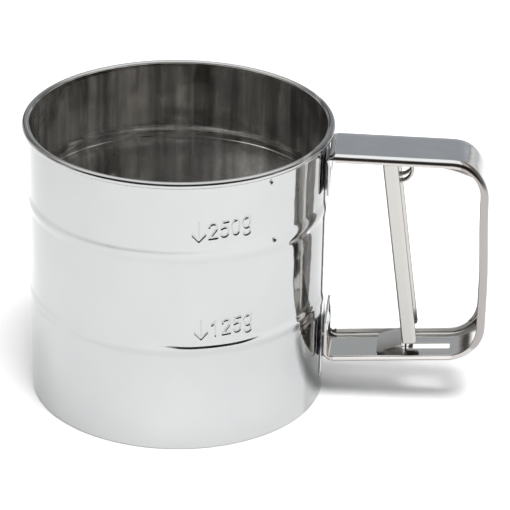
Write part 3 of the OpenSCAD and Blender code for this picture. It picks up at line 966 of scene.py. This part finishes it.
def build_trigger():
    def web_point(down):
        return trigger_point(WEB_MIDDLE, down, 0)[[0, 2]]

    # foot: leaves the web's lower edge and turns towards the cup
    foot_start, foot_end = np.array([73.6, 19.7]), np.array([66.2, 16.85])
    web_end = web_point(61.6)
    foot = [web_point(60.6), web_end]
    foot += [bezier(web_end, web_point(62.6), foot_start, t) for t in np.linspace(0.12, 1, 8)]
    foot += [foot_start + (foot_end - foot_start) * t for t in np.linspace(0.15, 1, 7)]
    # drive tab: narrow strip that drops through the slot
    tab = [web_point(60.4), web_end, (74.9, 19.6), (75.35, 18.7), (75.5, 17.6),
           (75.5, 15.5), (75.5, 13.6), (75.5, 12.9), (75.5, 12.62)]
    tab_halves = [1.3] * (len(tab) - 2) + [1.15, 0.8]
    shape = join(trigger_channel(),
                 strip(foot, [6.5] * len(foot), half_thickness=0.28, radius=0.16),
                 strip(tab, tab_halves, half_thickness=0.3, radius=0.14))
    make("trigger_channel", shape, M_trigger, "trigger", ("trigger",))


build_trigger()

# ---------------------------------------------------------------- torsion spring
COIL_X, COIL_Z, COIL_R, SPRING_WIRE_R = 71.3, 81.2, 3.75, 0.52


def build_spring():
    # leg along the web on the +Y side, up to where it meets the coil
    coil_start = math.pi + LEAN
    coil_end = math.radians(88) - 2 * math.pi * 4
    foot = trigger_point(WEB_FACE + TRIGGER_T + SPRING_WIRE_R + 0.06, 26.0, 4.05)
    joint = np.array([COIL_X + COIL_R * math.cos(coil_start), 4.0,
                      COIL_Z + COIL_R * math.sin(coil_start)])
    points = [foot * (1 - t) + joint * t for t in np.linspace(0, 1, 26)[:-1]]
    # close turns at both ends, one long stride between them
    turn_pitch, stride_start, stride_turns = 1.12, 1.94, 0.33
    stride_end = stride_start + stride_turns
    steps = 230
    for i in range(steps + 1):
        a = coil_start + (coil_end - coil_start) * (i / steps)
        turns = abs(a - coil_start) / (2 * math.pi)
        y = (4.0 - turn_pitch * min(turns, stride_start)
             - 3.28 * float(smooth((turns - stride_start) / stride_turns))
             - turn_pitch * max(0.0, turns - stride_end))
        points.append(np.array([COIL_X + COIL_R * math.cos(a), y,
                                COIL_Z + COIL_R * math.sin(a)]))
    # the leg bows a little before it meets the grip
    last = points[-1]
    bow, tip = np.array([84.0, last[1], 84.95]), np.array([97.75, last[1], 79.35])
    points += [bezier(last, bow, tip, t) for t in np.linspace(0, 1, 34)[1:]]
    spring = make("torsion_spring", tube(points, SPRING_WIRE_R, sides=14), M_wire, None,
                  ("trigger_spring",), sharp=60)
    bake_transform(spring)


build_spring()


# ---------------------------------------------------------------- rivets, pin, bracket
def handle_rivet(y, z, dome):
    """Rivet along X: low head inside the cup, domed head of height `dome` on the leg."""
    inner_x, outer_x = 46.98, 49.22
    grip = outer_x - inner_x
    shank_r, inner_r, inner_h, outer_r, rim = 1.45, 2.3, 0.55, 2.6, 0.12
    profile = [(0, -inner_h)]
    for t in (30, 50, 70, 90):
        profile.append((inner_r * math.sin(t * D2R) ** 0.9,
                        -inner_h + 0.25 * (1 - math.cos(t * D2R))))
    profile += [(inner_r, -0.05), (shank_r, 0.0), (shank_r, grip), (outer_r - 0.1, grip),
                (outer_r, grip + rim)]
    for t in np.linspace(12, 90, 9):
        profile.append((outer_r * math.cos(t * D2R),
                        grip + rim + (dome - rim) * math.sin(t * D2R)))
    return placed(lathe(profile, 36), lambda u, v, w: (inner_x + w, y + u, z + v))


for node, rivet_z, dome in (("handle_rivets_top", 79.0, 0.3),
                            ("handle_rivets_bottom", 22.5, 0.75)):
    make(node + "_v", join(*(handle_rivet(y, rivet_z, dome) for y in (-4.5, 4.5))),
         M_rivet, "root", (node,))


def build_pin():
    profile = rounded([(0, -6.86), (0.5, -6.88), (0.85, -6.8),
                       (0.85, 6.8), (0.5, 6.88), (0, 6.86)], 0.08, 3)
    shape = placed(lathe(profile, 32), lambda x, y, z: (PIVOT_X + x, z, PIVOT_Z + y))
    make("pivot_pin", shape, M_trigger, "root", ("trigger_pin",))


build_pin()


def build_bracket():
    """Plate under the strap's top, with an ear on each side around the pin."""
    thickness, bevel, ear_r = 0.78, 0.12, 1.75
    parts = [sheet([rounded_rect(64, -6, 73, 6, 1.2)], thickness, bevel, z=86.5)]
    outline = arc(0, 0, ear_r, ear_r, 180, 360, 24) + [(ear_r, 4.6), (-ear_r, 4.6)]
    ear = sheet([outline, circle(0, 0, 0.88, 32)], thickness, bevel)
    for ear_y in (-6.0, 5.2):
        parts.append(placed(ear, lambda x, y, z: (PIVOT_X + x, ear_y + z, PIVOT_Z + y)))
    make("pivot_bracket_v", join(*parts), M_satin, "root", ("pivot_bracket",),
         sharp=35)


build_bracket()

# ---------------------------------------------------------------- drive link
CRANK_AZ, CRANK_R = -105, 26
CRANK_X, CRANK_Y = CRANK_R * math.cos(CRANK_AZ * D2R), CRANK_R * math.sin(CRANK_AZ * D2R)
KNEE_X = 38.5  # beyond here the link rises with the strap's floor
LINK_T = 0.6
LINK_Z = floor_z(KNEE_X) - 0.05 - LINK_T


def build_link():
    outline = [(77.9, 5), (34, 5), (CRANK_X - 2.0, CRANK_Y + 5.4),
               (CRANK_X - 5.2, CRANK_Y - 0.6), (CRANK_X - 3.5, CRANK_Y - 5.0),
               (CRANK_X + 3.4, CRANK_Y - 5.2), (31, -5), (77.9, -5)]
    slot_y = CRANK_Y - 0.45
    crank_slot = rounded_rect(CRANK_X - 1.62, slot_y - 2.4, CRANK_X + 1.62, slot_y + 2.4, 1.5)
    tab_hole = rounded_rect(74.5, -1.7, 76.5, 1.7, 0.4)
    flat = new_mesh("flat_link", sheet([rounded(outline, 2.2, 6), crank_slot, tab_hole],
                                       LINK_T, 0.1, LINK_Z))
    bm = bmesh.new()
    bm.from_mesh(flat)
    bpy.data.meshes.remove(flat)
    bmesh.ops.remove_doubles(bm, verts=bm.verts, dist=1e-5)
    for x in (KNEE_X - 0.6, KNEE_X, KNEE_X + 0.6):
        bmesh.ops.bisect_plane(bm, geom=bm.verts[:] + bm.edges[:] + bm.faces[:],
                               plane_co=(x, 0, 0), plane_no=(1, 0, 0))
    for vert in bm.verts:
        if vert.co.x > KNEE_X:
            vert.co.z += (vert.co.x - KNEE_X) * math.tan(SLOPE)
    bm.verts.index_update()
    shape = ([tuple(vert.co) for vert in bm.verts],
             [[vert.index for vert in face.verts] for face in bm.faces])
    bm.free()
    make("drive_link_v", shape, M_satin, "link", ("drive_link",), sharp=35)


build_link()


# ---------------------------------------------------------------- agitator
def build_agitator():
    """Four-armed cross with an upright scalloped blade along each arm."""
    reach, half, corner = 41.6, 3.5, 1.5
    end = reach - corner
    arm = [(7.0, -half), (end, -half)]
    arm += [(end + corner * math.sin(t * D2R), -half + corner - corner * math.cos(t * D2R))
            for t in (22, 45, 67, 90)]
    arm += [(end + corner * math.cos(t * D2R), half - corner + corner * math.sin(t * D2R))
            for t in (0, 22, 45, 67, 90)]
    arm += [(7.0, half), (6.0, half + 0.6), (half + 0.6, 6.0)]
    cross = [point for k in range(4) for point in turned(arm, k * 90)]
    parts = [sheet([cross, circle(0, 0, 2.84, 40), circle(CRANK_R, 0, 1.03, 24)],
                   0.8, 0.12, z=8.2)]
    blade_start, blade_end, blade_low, scallop = 9.0, reach - 0.5, 8.55, 5.4
    profile = [(blade_start, blade_low), (blade_end, blade_low)]
    for i in range(60):
        x = blade_end - (blade_end - blade_start) * i / 59
        wave = math.cos((x - blade_start) * 2 * math.pi / scallop)
        profile.append((x, 11.35 + 0.3 * wave))
    verts, faces = placed(sheet([profile], 0.8, 0.14), lambda x, y, z: (x, 2.4 + z, y))
    parts += [(turned(verts, k * 90), faces) for k in range(4)]
    verts, faces = join(*parts)
    make("agitator_v", (turned(verts, CRANK_AZ), faces), M_satin, "agitator",
         ("agitator",), sharp=35)


build_agitator()


# ---------------------------------------------------------------- turned pieces
def lathe_piece(node, profile, radius, material, body, segments=64, cx=0.0, cy=0.0):
    shape = placed(lathe(rounded(profile, radius), segments),
                   lambda x, y, z: (x + cx, y + cy, z))
    make(node + "_v", shape, material, body, (node,))


def washer(node, inner_r, outer_r, low, high):
    lathe_piece(node, [(inner_r, low), (outer_r, low), (outer_r, high), (inner_r, high)],
                0.15, M_rivet, "root")


# profiles are (radius, z)
lathe_piece("hub_bush", [(1.65, 8.15), (2.8, 8.15), (2.8, 9.02), (4.4, 9.02), (4.4, 9.82),
                         (2.8, 9.82), (2.8, 10.95), (1.65, 10.95)],
            0.15, M_brass, "agitator")
lathe_piece("crank_pin", [(0, 8.2), (1.0, 8.2), (1.0, 9.02), (1.5, 9.02), (1.5, 14.1),
                          (2.6, 14.1), (2.6, 14.9), (0, 14.9)],
            0.25, M_rivet, "agitator", segments=40, cx=CRANK_X, cy=CRANK_Y)
washer("bearing_washer", inner_r=1.65, outer_r=6, low=7.3, high=8.1)
washer("top_washer", inner_r=1.65, outer_r=5, low=11.0, high=11.78)
washer("spacer_washer", inner_r=1.65, outer_r=5, low=5.92, high=6.88)
lathe_piece("centre_rivet", [(0, 4.2), (3, 4.2), (3, 4.88), (1.6, 4.88), (1.6, 11.8), (3, 11.8),
                             (2.9, 12.4), (2.2, 12.9), (1.2, 13.15), (0, 13.2)],
            0.22, M_rivet, "root")
lathe_piece("screen_ring_upper", [(43.0, 7.3), (47.56, 7.3), (47.56, 8.0), (43.0, 8.0)],
            0.2, M_satin, "root", segments=220)
lathe_piece("screen_ring_lower", [(46.4, 4.46), (47.28, 4.04), (47.56, 4.04), (47.56, 6.88),
                                  (42.5, 6.88), (42.5, 5.92), (46.4, 5.92)],
            0.2, M_satin, "root", segments=220)


# ---------------------------------------------------------------- bridge bar
def build_bridge():
    """Bar along Y under the screen, riveted near both ends."""
    half_x, half_y, rivet_y = 4.5, 45.9, 44.5
    outline = rounded([(-half_x, -half_y), (half_x, -half_y),
                       (half_x, half_y), (-half_x, half_y)], 1.0, 6)
    bar = sheet([outline, circle(0, 0, 1.65, 32), circle(0, rivet_y, 0.92, 24),
                 circle(0, -rivet_y, 0.92, 24)], 0.98, 0.14, z=4.9)
    make("bridge_bar_v", bar, M_satin, "root", ("bridge_bar",), sharp=35)
    profile = [(0, 4.2), (1.6, 4.2), (1.6, 4.88), (0.9, 4.88),
               (0.9, 8.02), (1.5, 8.02), (1.5, 8.5), (0, 8.5)]
    rivet = lathe(rounded(profile, 0.2), 28)
    rivets = [placed(rivet, lambda x, y, z: (x, y + side * rivet_y, z)) for side in (-1, 1)]
    make("bridge_rivets_v", join(*rivets), M_rivet, "root", ("bridge_rivets",))


build_bridge()


# ---------------------------------------------------------------- woven screen
def build_screen():
    screen_r, pitch = 46.6, (1.25)
    wire_r, weave, screen_z, sides = 0.17, 0.10, 7.09, 5
    angles = [2 * math.pi * s / sides for s in range(sides)]
    ring = wire_r * np.array([(math.cos(a), math.sin(a)) for a in angles])

    def wire(axis, offset, sign):
        """Wire along X (axis 0) or Y (axis 1), weaving over and under the others."""
        half = math.sqrt(max(0, screen_r * screen_r - offset * offset))
        if half < 2:
            return [], []
        t = np.linspace(-half, half, max(8, int(2 * half / pitch * 3.5)))
        verts = np.zeros((len(t), sides, 3))
        verts[:, :, axis] = t[:, None]
        verts[:, :, 1 - axis] = offset + ring[:, 0]
        height = screen_z + weave * sign * np.cos(np.pi * t / pitch)
        verts[:, :, 2] = height[:, None] + ring[:, 1]
        return verts.reshape(-1, 3).tolist(), wire_faces(len(t), sides)

    count = int(screen_r / pitch)
    wires = []
    for i in range(-count, count + 1):
        offset = (i + 0.5) * pitch
        sign = 1 if i % 2 == 0 else -1
        wires += [wire(0, offset, sign), wire(1, offset, -sign)]
    add_object("screen_cloth", new_mesh("screen_cloth", join(*wires), MM), M_screen, "root",
               ("screen_mesh",))


build_screen()


# ---------------------------------------------------------------- floor and lights
def build_floor():
    half = 3.0  # metres
    mesh = bpy.data.meshes.new("floor")
    mesh.from_pydata([(-half, -half, 0), (half, -half, 0), (half, half, 0), (-half, half, 0)],
                     [], [[0, 1, 2, 3]])
    floor = bpy.data.objects.new("floor", mesh)
    floor.location.z = -0.00005
    scene.collection.objects.link(floor)
    material = bpy.data.materials.new("floor_white")
    graph = Graph(material)
    diffuse = graph.node("BsdfDiffuse", {"Color": (0.90, 0.905, 0.91, 1)})
    graph.node("OutputMaterial", {0: diffuse.outputs[0]})
    mesh.materials.append(material)


def softbox(name, location, target, size, power, color):
    """Square area light, left out of reflections; places and size in metres."""
    light = bpy.data.lights.new(name, "AREA")
    light.shape = "RECTANGLE"
    light.size = light.size_y = size
    light.energy = power
    light.color = color
    lamp = bpy.data.objects.new(name, light)
    lamp.location = location
    aim = Vector(target) - Vector(location)
    lamp.rotation_euler = aim.to_track_quat("-Z", "Y").to_euler()
    scene.collection.objects.link(lamp)
    lamp.visible_glossy = False


build_floor()
softbox("softbox_key", location=(0.26, -0.42, 1.25), target=(0.04, 0.0, 0.0),
        size=0.60, power=18.5, color=(1, 1, 1))
softbox("softbox_fill", location=(0.0, -0.1, 1.6), target=(0.0, -0.1, 0.0),
        size=2.6, power=9, color=(0.98, 0.99, 1))

# ---------------------------------------------------------------- world
# colours over the sine of elevation, for the back and sides and for the camera's side (-Y)
BACK_STOPS = [(0.0, (0.75, 0.76, 0.77)), (0.20, (0.62, 0.64, 0.66)), (0.40, (0.44, 0.46, 0.48)),
              (0.50, (0.43, 0.45, 0.47)), (0.62, (0.55, 0.55, 0.55)), (0.74, (1.25, 1.24, 1.22)),
              (0.93, (1.4, 1.4, 1.38)), (1.0, (1.4, 1.4, 1.38))]
FRONT_STOPS = [(0.0, (0.75, 0.75, 0.74)), (0.05, (0.40, 0.39, 0.38)),
               (0.10, (0.05, 0.048, 0.046)), (0.70, (0.03, 0.028, 0.027)),
               (0.86, (0.25, 0.24, 0.23)), (0.93, (1.2, 1.2, 1.18)), (1.0, (1.4, 1.4, 1.38))]


def colour_ramp(graph, source, stops):
    node = graph.node("ValToRGB", {0: source})
    ramp = node.color_ramp
    ramp.interpolation = "EASE"
    for element, (position, colour) in zip(ramp.elements, (stops[0], stops[-1])):
        element.position = position
        element.color = (*colour, 1)
    for position, colour in stops[1:-1]:
        ramp.elements.new(position).color = (*colour, 1)
    return node.outputs["Color"]


def build_world():
    """Pale horizon, bright panel overhead, dark on the camera's side, strips at the sides."""
    world = bpy.data.worlds.new("studio")
    scene.world = world
    graph = Graph(world)
    direction = graph.node("TexCoord").outputs["Generated"]
    axes = graph.node("SeparateXYZ", {0: direction}).outputs
    room = graph.mix(graph.remap(axes["Y"], (-0.12, -0.45), soft=True),
                     colour_ramp(graph, axes["Z"], BACK_STOPS),
                     colour_ramp(graph, axes["Z"], FRONT_STOPS))
    # light and dark upright strips around the azimuth
    azimuth = graph.math("ARCTAN2", axes["Y"], axes["X"])
    around = graph.node("CombineXYZ", {0: azimuth}).outputs[0]
    strips = graph.remap(graph.noise(around, scale=3.2, detail=2.5, roughness=0.7),
                         (0.44, 0.56), (0.12, 1.35), soft=True)
    # the back centre stays even, and so do the horizon and the overhead panel
    sides = graph.math("MAXIMUM", graph.remap(axes["X"], (0.28, 0.42), soft=True),
                       graph.remap(axes["X"], (-0.28, -0.42), soft=True))
    heights = graph.math("MULTIPLY", graph.remap(axes["Z"], (0.02, 0.10), soft=True),
                         graph.remap(axes["Z"], (0.80, 0.62), soft=True))
    mask = graph.math("MULTIPLY", heights, sides)
    warm = graph.mix(mask, (1, 1, 1, 1), (1.0, 0.93, 0.86, 1))
    tint = graph.scale(warm, graph.remap(mask, (0.0, 1.0), (1.0, strips)))
    colour = graph.node("VectorMath", {0: room, 1: tint}, operation="MULTIPLY").outputs[0]
    background = graph.node("Background", {"Color": colour, "Strength": 1.0})
    graph.node("OutputWorld", {0: background.outputs[0]})


build_world()
scene.view_settings.view_transform = "Standard"
scene.view_settings.look = "None"
scene.view_settings.exposure = 0.0
scene.view_settings.gamma = 1.0


# ---------------------------------------------------------------- camera
def build_camera():
    yaw, pitch, roll = -4.698 * D2R, 26.303 * D2R, 1.119 * D2R
    place = np.array([90.34, -792.90, 439.97]) * MM
    forward = np.array([math.sin(yaw) * math.cos(pitch), math.cos(yaw) * math.cos(pitch),
                        -math.sin(pitch)])
    level_right = np.array([math.cos(yaw), -math.sin(yaw), 0.0])
    level_up = np.cross(level_right, forward)
    right = level_right * math.cos(roll) + level_up * math.sin(roll)
    up = -level_right * math.sin(roll) + level_up * math.cos(roll)
    lens = bpy.data.cameras.new("camera")
    lens.sensor_width = 36.0
    lens.sensor_fit = "HORIZONTAL"
    lens.lens = 192.419294
    lens.clip_start = 0.01
    lens.clip_end = 20
    camera = bpy.data.objects.new("camera", lens)
    rows = np.stack([right, up, -forward, place], axis=1).tolist()
    camera.matrix_world = Matrix(rows + [[0, 0, 0, 1]])
    scene.collection.objects.link(camera)
    scene.camera = camera


build_camera()
